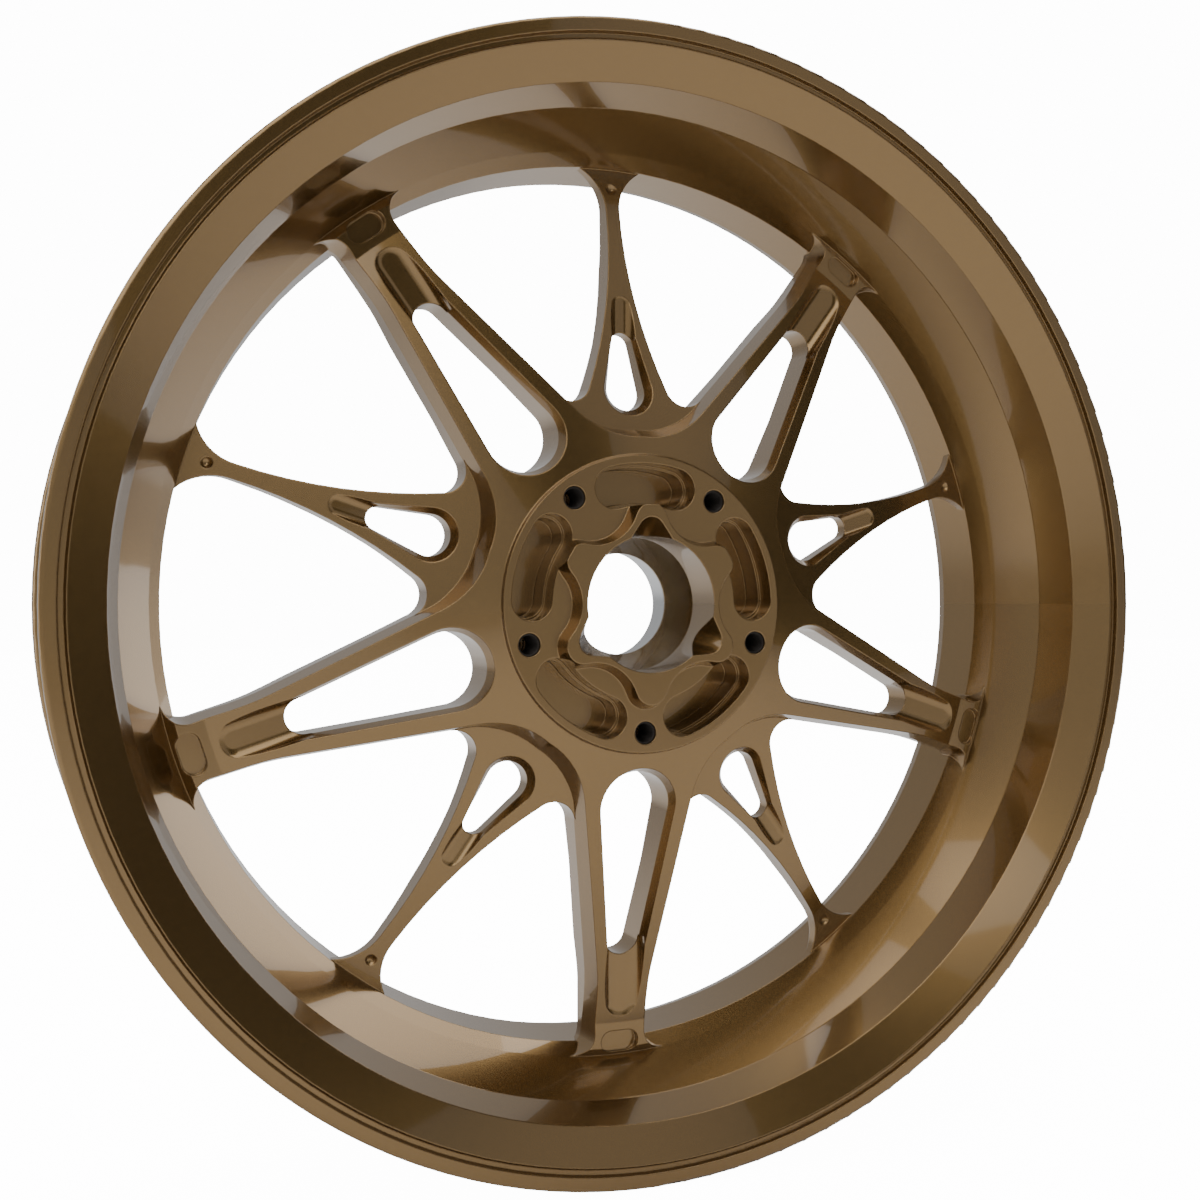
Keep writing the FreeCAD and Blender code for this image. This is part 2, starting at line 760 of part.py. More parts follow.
def cut_minor_details(body):
    """Small slot near the hub, the scoop beyond it and the dimple in the foot."""

    def slot_outline(draft):
        return on_dish(teardrop(size.minor_slot_centre, size.minor_slot_round + draft,
                                size.minor_slot_tip, size.minor_slot_tip_round + draft * 0.4))

    lead = size.loft_margin
    depth = size.minor_slot_draft_depth
    mouth = draw_outline(body, "minor_slot_mouth", "XZ_Plane",
                         slot_outline(size.minor_slot_draft * (depth + lead) / depth),
                         dish_plane(size.minor_drop - lead), -DISH_TILT)
    throat = draw_outline(body, "minor_slot_throat", "XZ_Plane", slot_outline(ZERO),
                          dish_plane(size.minor_drop + depth), -DISH_TILT)
    drafted = loft(body, "PartDesign::SubtractiveLoft", "minor_slot_drafted", mouth, throat)
    through = extrude(body, "PartDesign::Pocket", "minor_slot_through", throat,
                      size.rim_width / 2, forward=False)
    doc.recompute()
    around_axle(body, "minor_slots", [drafted, through], size.spoke_count)
    cutter_path(body, "minor_scoop", size.minor_scoop_half_width, size.minor_scoop_round,
                size.minor_scoop_end, size.minor_slot_tip, 1, size.spoke_count)
    surface = dish_depth(size.foot_dimple_radius) + size.minor_drop
    ball = size.foot_dimple_ball
    ball_centre = along(surface) - ball * 0.45
    dimple_section = draw_outline(body, "dimple_section", "XY_Plane", [
        (ZERO, ball_centre - ball, ball, 1),
        (ball, ball_centre, ball, 1),
        (ZERO, ball_centre + ball),
    ], size.foot_dimple_radius)
    dimple = body.newObject("PartDesign::Groove", "foot_dimple")
    dimple.Profile = (dimple_section, [""])
    dimple.ReferenceAxis = (dimple_section, ["V_Axis"])
    dimple.Angle = FULL_TURN
    doc.recompute()
    around_axle(body, "foot_dimples", [dimple], size.spoke_count)


def boss_outline(draft):
    """Six soft bulges round the nut pocket, with scallops between them."""
    bulge = size.boss_bulge_round + draft
    waist = size.boss_waist
    reach = size.boss_bulge_centre
    inner = waist - size.boss_bulge_round
    half_step = as_size(30)
    scallop_centre = ((reach * reach - inner * inner)
                      / ((reach * cos(half_step) - inner) * 2))
    scallop = scallop_centre - waist - draft
    join = bulge / (bulge + scallop)
    corners = []
    for step in range(6):
        bulge_angle = as_size(60 * step)
        before = as_size(60 * step - 30)
        after = as_size(60 * step + 30)
        bulge_x, bulge_y = polar(reach, bulge_angle)
        for angle, arc in ((before, (bulge, -1)), (after, (scallop, 1))):
            far_x, far_y = polar(scallop_centre, angle)
            corners.append((bulge_x + (far_x - bulge_x) * join,
                            bulge_y + (far_y - bulge_y) * join) + arc)
    return corners


def add_hub_details(body):
    """Boss with its nut pocket and lobes, kidney pockets and the disc bolt holes."""
    root_depth = size.hub_face_depth + 1.0
    foot = draw_outline(body, "boss_foot", "XZ_Plane", boss_outline(size.boss_draft / 2),
                        -along(root_depth))
    crown = draw_outline(body, "boss_crown", "XZ_Plane", boss_outline(-size.boss_draft / 2),
                         -along(size.boss_depth))
    loft(body, "PartDesign::AdditiveLoft", "boss", foot, crown)
    doc.recompute()
    pocket = draw_circle(body, "nut_pocket_mouth", "XZ_Plane", (ZERO, ZERO),
                         size.nut_pocket_radius, -along(size.nut_pocket_floor))
    extrude(body, "PartDesign::Pocket", "nut_pocket", pocket, size.nut_pocket_floor)
    doc.recompute()
    wide_centre = size.lobe_root_centre
    wide_round = size.lobe_root_round
    mouth = draw_outline(body, "lobe_mouth", "XZ_Plane",
                         teardrop(wide_centre, wide_round, size.lobe_centre, size.lobe_round),
                         -along(size.boss_depth - 1.0))
    floor = draw_outline(body, "lobe_floor", "XZ_Plane",
                         teardrop(wide_centre, wide_round - 2.0,
                                  size.lobe_centre - size.lobe_fall, size.lobe_round - 0.5),
                         -along(size.boss_depth + size.lobe_depth))
    lobe = loft(body, "PartDesign::SubtractiveLoft", "lobe", mouth, floor)
    doc.recompute()
    around_axle(body, "lobes", [lobe], 3)
    for level, inset, depth in (("upper", ZERO, size.kidney_ledge_depth),
                                ("lower", size.kidney_ledge, size.kidney_depth)):
        half_width = size.kidney_half_width - inset
        inner = size.kidney_radius - half_width
        outer = size.kidney_radius + half_width
        turn = size.kidney_angle
        end_x = size.kidney_radius * sin(turn) + half_width * cos(turn)
        end_y = size.kidney_radius * cos(turn) - half_width * sin(turn)
        outline = draw_outline(body, "kidney_" + level, "XZ_Plane", [
            polar(outer, -turn) + (outer, -1),
            polar(outer, turn) + (half_width, -1),
            (end_x, end_y, half_width, -1),
            polar(inner, turn) + (inner, 1),
            polar(inner, -turn) + (half_width, -1),
            (-end_x, end_y, half_width, -1),
        ], -along(size.boss_depth))
        cut = extrude(body, "PartDesign::Pocket", "kidney_" + level + "_cut", outline,
                      size.hub_face_depth - size.boss_depth + depth, forward=False)
        doc.recompute()
        around_axle(body, "kidneys_" + level, [cut], size.spoke_count)
    bolt = draw_circle(body, "bolt_hole_mouth", "XZ_Plane", (ZERO, -size.bolt_circle_radius),
                       size.bolt_thread_radius + size.insert_wall, -along(size.hub_face_depth))
    hole = extrude(body, "PartDesign::Pocket", "bolt_hole", bolt, size.bolt_hole_depth,
                   forward=False)
    doc.recompute()
    around_axle(body, "bolt_holes", [hole], size.spoke_count)


def drill_valve_hole(body):
    """Hole through the floor of the well, with a flat spot on either side of the wall."""
    outside = size.barrel_waist_radius + size.well_wall - size.valve_spot_depth
    inside = size.barrel_waist_radius + size.valve_spot_depth
    hole = size.valve_shank_radius + size.valve_hole_clearance
    section = draw_outline(body, "valve_hole_section", "XZ_Plane", [
        (ZERO, inside - 10.0),
        (size.valve_spot_radius, inside - 10.0),
        (size.valve_spot_radius, inside),
        (hole, inside),
        (hole, outside),
        (size.valve_spot_radius, outside),
        (size.valve_spot_radius, outside + 10.0),
        (ZERO, outside + 10.0),
    ], -along(size.valve_depth))
    section.AttachmentOffset = Placement(section.AttachmentOffset.Base,
                                         Rotation(Vector(0, 0, 1), size.valve_angle.value - 90.0))
    hole_cut = body.newObject("PartDesign::Groove", "valve_hole")
    hole_cut.Profile = (section, [""])
    hole_cut.ReferenceAxis = (section, ["V_Axis"])
    hole_cut.Angle = FULL_TURN
    body.Tip = hole_cut


def make_forging():
    body = new_body("wheel_forging")
    add_hub_core(body)
    doc.recompute()
    add_spokes(body)
    trim_web(body)
    doc.recompute()
    add_rim(body)
    doc.recompute()
    cut_major_details(body)
    cut_minor_details(body)
    add_hub_details(body)
    drill_valve_hole(body)
    doc.recompute()
    return body


def make_thread_inserts():
    body = new_body("disc_thread_inserts")
    start = size.hub_face_depth + size.insert_recess
    centre = (ZERO, -size.bolt_circle_radius)
    outer = size.bolt_thread_radius + size.insert_wall - size.seat_gap
    sleeve_outline = draw_circle(body, "insert_outline", "XZ_Plane", centre, outer, -along(start))
    bore_outline = draw_circle(body, "thread_outline", "XZ_Plane", centre,
                               size.bolt_thread_radius, -along(start))
    shell = extrude(body, "PartDesign::Pad", "insert", sleeve_outline, size.insert_length,
                    forward=False)
    bore = extrude(body, "PartDesign::Pocket", "thread", bore_outline, size.insert_length,
                   forward=False)
    doc.recompute()
    around_axle(body, "inserts", [shell, bore], size.spoke_count)
    return body


# ---- bearings -----------------------------------------------------------------------------

def turned_part(label, corners):
    """A sub-part that is one turned ring."""
    body = new_body(label)
    turn_profile(body, "PartDesign::Revolution", "turned", corners)
    return body


def make_bearing(name, bore, outer, seat, width, ball, count, gap):
    """Deep groove ball bearing: two rings, balls, a cage and two lip seals."""
    pitch = (bore + outer) / 2
    middle = seat + width / 2
    inner_land = pitch - gap / 2
    outer_land = pitch + gap / 2
    race = ball + size.race_clearance
    half_race = root(race * race - gap * gap / 4)
    housing = outer - size.seat_gap
    inner_ring = turned_part(name + "_inner_ring", [
        (bore, seat),
        (inner_land, seat),
        (inner_land, middle - half_race, race, -1),
        (inner_land, middle + half_race),
        (inner_land, seat + width),
        (bore, seat + width),
    ])
    outer_ring = turned_part(name + "_outer_ring", [
        (housing, seat + width),
        (outer_land, seat + width),
        (outer_land, middle + half_race, race, -1),
        (outer_land, middle - half_race),
        (outer_land, seat),
        (housing, seat),
    ])
    balls = new_body(name + "_balls")
    add_ball(balls, "PartDesign::Revolution", pitch, middle, ball, count)
    cage = turned_part(name + "_cage", [
        (pitch - size.cage_half_thickness, middle - ball - size.cage_rim),
        (pitch + size.cage_half_thickness, middle - ball - size.cage_rim),
        (pitch + size.cage_half_thickness, middle + ball + size.cage_rim),
        (pitch - size.cage_half_thickness, middle + ball + size.cage_rim),
    ])
    doc.recompute()
    add_ball(cage, "PartDesign::Groove", pitch, middle, ball + size.cage_clearance, count)
    seals = new_body(name + "_seals")
    for place, start in (("front", seat + size.seal_inset),
                         ("rear", seat + width - size.seal_inset - size.seal_thickness)):
        turn_profile(seals, "PartDesign::Revolution", place + "_seal", [
            (inner_land + size.running_clearance, start),
            (outer_land - size.seat_gap, start),
            (outer_land - size.seat_gap, start + size.seal_thickness),
            (inner_land + size.running_clearance, start + size.seal_thickness),
        ])
    return [inner_ring, outer_ring, balls, cage, seals]


def add_ball(body, kind, pitch, middle, ball, count):
    """One ball, or its pocket, repeated round the pitch circle."""
    section = draw_outline(body, "ball_section", "XY_Plane", [
        (ZERO, along(middle - ball), ball, 1),
        (ball, along(middle), ball, 1),
        (ZERO, along(middle + ball)),
    ], pitch)
    sphere = body.newObject(kind, "ball")
    sphere.Profile = (section, [""])
    sphere.ReferenceAxis = (section, ["V_Axis"])
    sphere.Angle = FULL_TURN
    doc.recompute()
    around_axle(body, "ball_row", [sphere], count)


def make_distance_sleeve():
    """Spacer that keeps the two inner rings apart on the spindle."""
    front = size.outboard_seat_depth + size.outboard_width
    rear = size.inboard_seat_depth
    small = size.outboard_bore_radius + size.sleeve_clearance
    large = size.inboard_bore_radius + size.sleeve_clearance
    wall = size.sleeve_wall
    return turned_part("bearing_distance_sleeve", [
        (small, front),
        (small + wall, front),
        (small + wall, front + 1.4),
        (large + wall, rear - 3.2),
        (large + wall, rear),
        (large, rear),
        (small, front + 3.0),
    ])


def make_circlip():
    """Internal retaining ring with a lug at either side of its gap."""
    body = new_body("hub_circlip")
    outer = size.inboard_outer_radius + size.circlip_groove_depth - 0.1
    inner = outer - size.circlip_ring_width
    start = size.inboard_seat_depth + size.inboard_width + size.groove_clearance
    half_gap = size.circlip_gap / 2
    stops = [half_gap, as_size(120), as_size(240), as_size(360) - half_gap]
    way_round = [polar(outer, angle) + (outer, -1) for angle in stops[:-1]]
    way_round.append(polar(outer, stops[-1]))
    way_back = [polar(inner, angle) + (inner, 1) for angle in stops[:0:-1]]
    way_back.append(polar(inner, stops[0]))
    ring = draw_outline(body, "ring_outline", "XZ_Plane", way_round + way_back, -along(start))
    extrude(body, "PartDesign::Pad", "ring", ring, size.circlip_thickness, forward=False)
    lug_angle = half_gap + size.circlip_lug_angle
    for side, angle in (("right", lug_angle), ("left", -lug_angle)):
        lug = draw_circle(body, side + "_lug_outline", "XZ_Plane", polar(inner + 0.4, angle),
                          size.circlip_lug_radius, -along(start))
        extrude(body, "PartDesign::Pad", side + "_lug", lug, size.circlip_thickness,
                forward=False)
    for side, angle in (("right", lug_angle), ("left", -lug_angle)):
        eye = draw_circle(body, side + "_eye_outline", "XZ_Plane", polar(inner + 0.4, angle),
                          size.circlip_lug_radius - 1.4, -along(start))
        extrude(body, "PartDesign::Pocket", side + "_eye", eye, size.circlip_thickness,
                forward=False)
    return body


def make_dust_seal():
    """Lip seal in the rear of the hub, and the spring that closes its lip."""
    start = size.hub_rear_depth - size.dust_seal_width - 0.2
    end = start + size.dust_seal_width
    outer = size.dust_seal_radius - size.seat_gap
    lip = size.dust_seal_lip_radius
    wire = size.garter_wire_radius
    seal = turned_part("hub_dust_seal", [
        (outer, start),
        (outer, end),
        (outer - 1.6, end),
        (outer - 1.6, start + 1.6),
        (lip + 3.6, start + 1.6),
        (lip + 2.0, end - 1.2),
        (lip + 0.8, end - 1.2),
        (lip, end - 2.2),
        (lip + 1.2, start + 1.2),
        (lip + 2.0, start),
    ])
    spring = new_body("seal_garter_spring")
    section = draw_circle(spring, "wire_section", "XY_Plane",
                          (lip + 2.6 + wire, along(end - 2.6)), wire)
    coil = spring.newObject("PartDesign::Revolution", "wire")
    coil.Profile = (section, [""])
    coil.ReferenceAxis = (section, ["V_Axis"])
    coil.Angle = FULL_TURN
    return [seal, spring]


# ---- tyre valve ---------------------------------------------------------------------------
# Each valve part is turned about its own Z axis, which then points out along a radius of
# the wheel. Heights are distances from the wheel's axle.

def valve_turned(label, corners):
    body = new_body(label)
    section = draw_outline(body, "section", "XZ_Plane", corners)
    shape = body.newObject("PartDesign::Revolution", "turned")
    shape.Profile = (section, [""])
    shape.ReferenceAxis = (section, ["V_Axis"])
    shape.Angle = FULL_TURN
    return body


def stand_in_well(body):
    """Turn a valve part to its place in the rim."""
    turn = Rotation(Vector(0, 1, 0), 90.0 - size.valve_angle.value)
    body.Placement = Placement(Vector(0, along(size.valve_depth).value, 0), turn)


def make_valve():
    outside = size.barrel_waist_radius + size.well_wall - size.valve_spot_depth
    inside = size.barrel_waist_radius + size.valve_spot_depth
    shank = size.valve_shank_radius
    head = outside + size.valve_gasket_height
    top = head + size.valve_head_height
    tip = top - size.valve_length
    core = size.valve_core_radius
    core_end = tip + size.valve_core_length
    nut_top = inside - size.valve_washer_height
    stem = valve_turned("valve_stem", [
        (core, tip),
        (shank - 0.6, tip),
        (shank, tip + 0.6),
        (shank, head),
        (size.valve_head_radius, head),
        (size.valve_head_radius, top - 0.8),
        (size.valve_head_radius - 0.8, top),
        (core - 1.0, top),
        (core - 1.0, core_end + 6.0),
        (core, core_end + 5.0),
    ])
    gasket = valve_turned("valve_base_gasket", [
        (shank + 0.05, outside),
        (size.valve_head_radius - 0.4, outside),
        (size.valve_head_radius - 0.4, head),
        (shank + 0.05, head),
    ])
    washer = valve_turned("valve_washer", [
        (shank + 0.1, nut_top),
        (size.valve_nut_half_flats + 0.9, nut_top),
        (size.valve_nut_half_flats + 0.9, inside),
        (shank + 0.1, inside),
    ])
    nut = new_body("valve_nut")
    corner = size.valve_nut_half_flats / cos(as_size(30))
    flats = [polar(corner, as_size(30 + 60 * step)) for step in range(6)]
    nut_outline = draw_outline(nut, "hexagon", "XY_Plane", flats, nut_top - size.valve_nut_height)
    solid_nut = nut.newObject("PartDesign::Pad", "hexagon_pad")
    solid_nut.Profile = (nut_outline, [""])
    solid_nut.Length = size.valve_nut_height.value
    solid_nut.setExpression("Length", size.valve_nut_height.formula)
    chamfer = draw_outline(nut, "bore_section", "XZ_Plane", [
        (ZERO, nut_top + 1.0),
        (ZERO, nut_top - size.valve_nut_height - 1.0),
        (shank + 0.05, nut_top - size.valve_nut_height - 1.0),
        (shank + 0.05, nut_top + 1.0),
    ])
    bore = nut.newObject("PartDesign::Groove", "bore")
    bore.Profile = (chamfer, [""])
    bore.ReferenceAxis = (chamfer, ["V_Axis"])
    bore.Angle = FULL_TURN
    core_wall = core - size.seat_gap
    core_body = valve_turned("valve_core_body", [
        (core_wall - 0.7, tip + 2.0),
        (core_wall, tip + 2.0),
        (core_wall, core_end),
        (size.valve_pin_radius + 0.1, core_end),
        (size.valve_pin_radius + 0.1, core_end - 1.5),
        (core_wall - 0.7, core_end - 1.5),
    ])
    pin = valve_turned("valve_core_pin", [
        (ZERO, tip + 0.6),
        (size.valve_pin_radius, tip + 0.6),
        (size.valve_pin_radius, tip + 3.0),
        (core_wall - 0.9, tip + 3.0),
        (core_wall - 0.9, tip + 3.6),
        (size.valve_pin_radius, tip + 3.6),
        (size.valve_pin_radius, core_end + 1.4),
        (ZERO, core_end + 1.4),
    ])
    core_seal = valve_turned("valve_core_seal", [
        (size.valve_pin_radius, core_end),
        (core - 0.4, core_end),
        (core - 0.4, core_end + 1.0),
        (size.valve_pin_radius, core_end + 1.0),
    ])
    spring = new_body("valve_core_spring")
    wire = size.valve_spring_wire
    coil_section = draw_circle(spring, "wire_section", "XZ_Plane",
                               (size.valve_pin_radius + 0.2 + wire, tip + 3.6 + wire), wire)
    coil = spring.newObject("PartDesign::AdditiveHelix", "coil")
    coil.Profile = (coil_section, [""])
    coil.ReferenceAxis = (coil_section, ["V_Axis"])
    coil.Mode = 0
    rise = core_end - 1.5 - tip - 3.6 - wire * 2
    coil.Pitch = size.valve_spring_pitch.value
    coil.Height = rise.value
    coil.setExpression("Pitch", size.valve_spring_pitch.formula)
    coil.setExpression("Height", rise.formula)
    cap_end = tip - 0.6
    cap = valve_turned("valve_cap", [
        (ZERO, cap_end - 1.2),
        (size.valve_cap_radius - 1.0, cap_end - 1.2),
        (size.valve_cap_radius, cap_end - 0.2),
        (size.valve_cap_radius, cap_end - 1.2 + size.valve_cap_length),
        (shank + 0.05, cap_end - 1.2 + size.valve_cap_length),
        (shank + 0.05, cap_end),
        (ZERO, cap_end),
    ])
    cap_seal = valve_turned("valve_cap_seal", [
        (core + 0.1, cap_end),
        (shank - 0.5, cap_end),
        (shank - 0.5, tip),
        (core + 0.1, tip),
    ])
    parts = [stem, gasket, washer, nut, core_body, pin, core_seal, spring, cap, cap_seal]
    for part in parts:
        stand_in_well(part)
    return parts


sub_parts = [make_forging(), make_thread_inserts()]
sub_parts += make_bearing("outboard_bearing", size.outboard_bore_radius,
                          size.outboard_outer_radius, size.outboard_seat_depth,
                          size.outboard_width, size.outboard_ball_radius,
                          size.outboard_ball_count, size.outboard_land_gap)
sub_parts += make_bearing("inboard_bearing", size.inboard_bore_radius,
                          size.inboard_outer_radius, size.inboard_seat_depth,
                          size.inboard_width, size.inboard_ball_radius,
                          size.inboard_ball_count, size.inboard_land_gap)
sub_parts += [make_distance_sleeve(), make_circlip()]
sub_parts += make_dust_seal()
sub_parts += make_valve()
doc.recompute()

faults = [item.Name for item in doc.Objects if "Invalid" in item.State or "Error" in item.State]
if faults:
    raise RuntimeError("features that failed: " + ", ".join(faults))
os.makedirs("parts", exist_ok=True)
for part in sub_parts:
    if part.Shape.isNull() or not part.Shape.isValid():
        raise RuntimeError(part.Label + " has no valid shape")
    part.Shape.exportStep(os.path.join("parts", part.Label + ".step"))
    print(part.Label, "volume", round(part.Shape.Volume / 1000.0, 2), "cm3",
          "solids", len(part.Shape.Solids))
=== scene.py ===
# %% [markdown]
# # A forged racing wheel on a stub spindle
#
# The solid parts of the wheel come from its design model. This lesson dresses them:
# bronze metallic paint on the forging, ground steel and brass in the bearings, rubber
# seals, and the small threads and grips that a maker would cut last. Metres throughout.
# The wheel turns about the Y axis and its outboard face looks along -Y.

# %%
import json
import math

import bmesh
import bpy
from mathutils import Matrix, Vector


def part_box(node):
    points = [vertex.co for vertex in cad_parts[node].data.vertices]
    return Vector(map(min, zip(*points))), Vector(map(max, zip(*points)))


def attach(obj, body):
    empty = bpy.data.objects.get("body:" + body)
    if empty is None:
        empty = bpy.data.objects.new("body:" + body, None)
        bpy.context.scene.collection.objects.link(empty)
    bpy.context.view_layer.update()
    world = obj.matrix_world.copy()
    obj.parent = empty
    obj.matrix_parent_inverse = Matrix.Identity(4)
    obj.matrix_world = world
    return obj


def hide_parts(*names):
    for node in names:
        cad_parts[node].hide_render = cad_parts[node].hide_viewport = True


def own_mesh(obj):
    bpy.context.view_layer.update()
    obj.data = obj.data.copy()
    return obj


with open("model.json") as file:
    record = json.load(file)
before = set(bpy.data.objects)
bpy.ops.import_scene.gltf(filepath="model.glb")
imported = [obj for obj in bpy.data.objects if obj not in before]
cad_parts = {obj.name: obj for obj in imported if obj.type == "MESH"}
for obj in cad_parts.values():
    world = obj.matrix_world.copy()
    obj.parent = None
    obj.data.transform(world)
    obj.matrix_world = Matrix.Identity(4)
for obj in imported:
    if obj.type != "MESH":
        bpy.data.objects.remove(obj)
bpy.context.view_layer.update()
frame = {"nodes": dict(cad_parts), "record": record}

# %% [markdown]
# ## Sizes to work from
#
# The rim's radius, the hub face and the valve's depth are measured from the solid parts.
# A box can't give a bolt circle or an angle round the axle, so those are typed, and a
# change to them in the design has to be repeated here.

# %%
WHEEL = "wheel"
VALVE_ANGLE = math.radians(198.0)


def span(node, axis):
    """Lowest and highest coordinate of a solid part along one axis."""
    low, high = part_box(node)
    return low[axis], high[axis]


rim_radius = span("wheel_forging", 2)[1]
INSERT_RECESS = 0.001
hub_face = span("disc_thread_inserts", 1)[0] - INSERT_RECESS
valve_depth = sum(span("valve_nut", 1)) / 2
print("rim radius", round(rim_radius, 4), "hub face at", round(hub_face, 4))
print("valve sits at y", round(valve_depth, 4))

# %% [markdown]
# ## Building blocks for the surfaces
#
# Each effect is a node group with named sockets. It reads the part's own coordinates in
# metres, so a feature 0.3 mm across stays 0.3 mm across on every part.

# %%
def new_group(name, inputs, outputs):
    """An empty shader group with its input and output sockets."""
    group = bpy.data.node_groups.new(name, "ShaderNodeTree")
    for label, kind, value in inputs:
        socket = group.interface.new_socket(name=label, in_out="INPUT", socket_type=kind)
        socket.default_value = value
    for label, kind in outputs:
        group.interface.new_socket(name=label, in_out="OUTPUT", socket_type=kind)
    group.nodes.new("NodeGroupInput").name = "In"
    group.nodes.new("NodeGroupOutput").name = "Out"
    return group


def add(tree, kind, **settings):
    node = tree.nodes.new(kind)
    for key, value in settings.items():
        setattr(node, key, value)
    return node


def join(tree, source, output, target, socket):
    tree.links.new(source.outputs[output], target.inputs[socket])


def object_place(tree):
    return add(tree, "ShaderNodeTexCoord")


def noise(tree, place, scale, detail=3.0, roughness=0.55):
    node = add(tree, "ShaderNodeTexNoise")
    node.inputs["Scale"].default_value = scale
    node.inputs["Detail"].default_value = detail
    node.inputs["Roughness"].default_value = roughness
    join(tree, place, "Object", node, "Vector")
    return node


def spread(tree, source, output, low, high, from_low=0.3, from_high=0.7):
    """Stretch a 0 to 1 pattern to the range low to high."""
    node = add(tree, "ShaderNodeMapRange")
    node.inputs["From Min"].default_value = from_low
    node.inputs["From Max"].default_value = from_high
    node.inputs["To Min"].default_value = low
    node.inputs["To Max"].default_value = high
    join(tree, source, output, node, "Value")
    return node


def calculate(tree, operation, first, second=None):
    """A maths node; first and second are a number or (node, output)."""
    node = add(tree, "ShaderNodeMath", operation=operation)
    for index, item in enumerate((first, second)):
        if isinstance(item, tuple):
            tree.links.new(item[0].outputs[item[1]], node.inputs[index])
        elif item is not None:
            node.inputs[index].default_value = item
    return node


print("helpers ready")

# %% [markdown]
# ### Tint: slow drift of colour and roughness
#
# Sprayed paint and hand-wiped metal are never one flat colour. A coarse noise, some
# 60 mm across, drifts the tint, and a fine one gives the flakes and wipe marks.

# %%
tint_group = new_group("SurfaceTint", [
    ("Color", "NodeSocketColor", (0.5, 0.5, 0.5, 1.0)),
    ("Drift", "NodeSocketFloat", 0.08),
    ("Roughness", "NodeSocketFloat", 0.3),
    ("Roughness Drift", "NodeSocketFloat", 0.05),
    ("Grain Scale", "NodeSocketFloat", 900.0),
], [("Base Color", "NodeSocketColor"), ("Roughness", "NodeSocketFloat")])


def build_tint(tree):
    come, go = tree.nodes["In"], tree.nodes["Out"]
    place = object_place(tree)
    coarse = noise(tree, place, 16.0)
    fine = noise(tree, place, 900.0, detail=2.0)
    join(tree, come, "Grain Scale", fine, "Scale")
    mixed = calculate(tree, "ADD", (coarse, "Fac"), (fine, "Fac"))
    centred = calculate(tree, "SUBTRACT", (mixed, 0), 1.0)
    swing = calculate(tree, "MULTIPLY", (centred, 0), (come, "Drift"))
    level = calculate(tree, "ADD", (swing, 0), 1.0)
    shade = add(tree, "ShaderNodeVectorMath", operation="SCALE")
    join(tree, come, "Color", shade, 0)
    join(tree, level, 0, shade, "Scale")
    join(tree, shade, 0, go, "Base Color")
    rough_swing = calculate(tree, "MULTIPLY", (centred, 0), (come, "Roughness Drift"))
    rough = calculate(tree, "ADD", (rough_swing, 0), (come, "Roughness"))
    join(tree, rough, 0, go, "Roughness")


build_tint(tint_group)
print("SurfaceTint has", len(tint_group.nodes), "nodes")

# %% [markdown]
# ### Edges: lighter colour where paint thins and metal is polished by use, and a painted highlight
#
# The bevel node feels for edges within a small radius and tints them lighter. That tint is
# partly wear and partly a painted highlight line along the edges. The same group gives a softened
# normal, so that machined corners catch a thin line of light.

# %%
edge_wear_and_highlight_group = new_group("EdgeWearAndHighlight", [
    ("Color", "NodeSocketColor", (0.5, 0.5, 0.5, 1.0)),
    ("Worn Color", "NodeSocketColor", (0.7, 0.6, 0.5, 1.0)),
    ("Amount", "NodeSocketFloat", 0.5),
    ("Radius", "NodeSocketFloat", 0.0008),
], [("Base Color", "NodeSocketColor"), ("Normal", "NodeSocketVector")])


def build_edge_wear_and_highlight(tree):
    come, go = tree.nodes["In"], tree.nodes["Out"]
    bevel = add(tree, "ShaderNodeBevel", samples=6)
    join(tree, come, "Radius", bevel, "Radius")
    shape = add(tree, "ShaderNodeNewGeometry")
    match = add(tree, "ShaderNodeVectorMath", operation="DOT_PRODUCT")
    join(tree, bevel, "Normal", match, 0)
    join(tree, shape, "Normal", match, 1)
    # Edge mask: a lighter tint on edges, partly wear and partly a painted highlight line.
    edge_wear_and_highlight = spread(tree, match, "Value", 1.0, 0.0, 0.86, 0.99)
    patchy = spread(tree, noise(tree, object_place(tree), 220.0), "Fac", 0.0, 1.0)
    both = calculate(tree, "MULTIPLY", (edge_wear_and_highlight, "Result"), (patchy, "Result"))
    share = calculate(tree, "MULTIPLY", (both, 0), (come, "Amount"))
    blend = add(tree, "ShaderNodeMix", data_type="RGBA")
    tree.links.new(share.outputs[0], blend.inputs[0])
    tree.links.new(come.outputs["Color"], blend.inputs[6])
    tree.links.new(come.outputs["Worn Color"], blend.inputs[7])
    tree.links.new(blend.outputs[2], go.inputs["Base Color"])
    join(tree, bevel, "Normal", go, "Normal")


build_edge_wear_and_highlight(edge_wear_and_highlight_group)
print("EdgeWearAndHighlight has", len(edge_wear_and_highlight_group.nodes), "nodes")

# %% [markdown]
# ### Height: orange peel, lathe lines and moulded grain
#
# A relief in metres for the bump node. Lathe lines run in circles about the axle. They
# come from a sine, so one line follows the next after 2 pi times the Lathe Pitch value.

# %%
relief_group = new_group("SurfaceRelief", [
    ("Grain Scale", "NodeSocketFloat", 600.0),
    ("Grain Height", "NodeSocketFloat", 0.00001),
    ("Lathe Pitch", "NodeSocketFloat", 0.0006),
    ("Lathe Height", "NodeSocketFloat", 0.0),
], [("Bump Height", "NodeSocketFloat")])


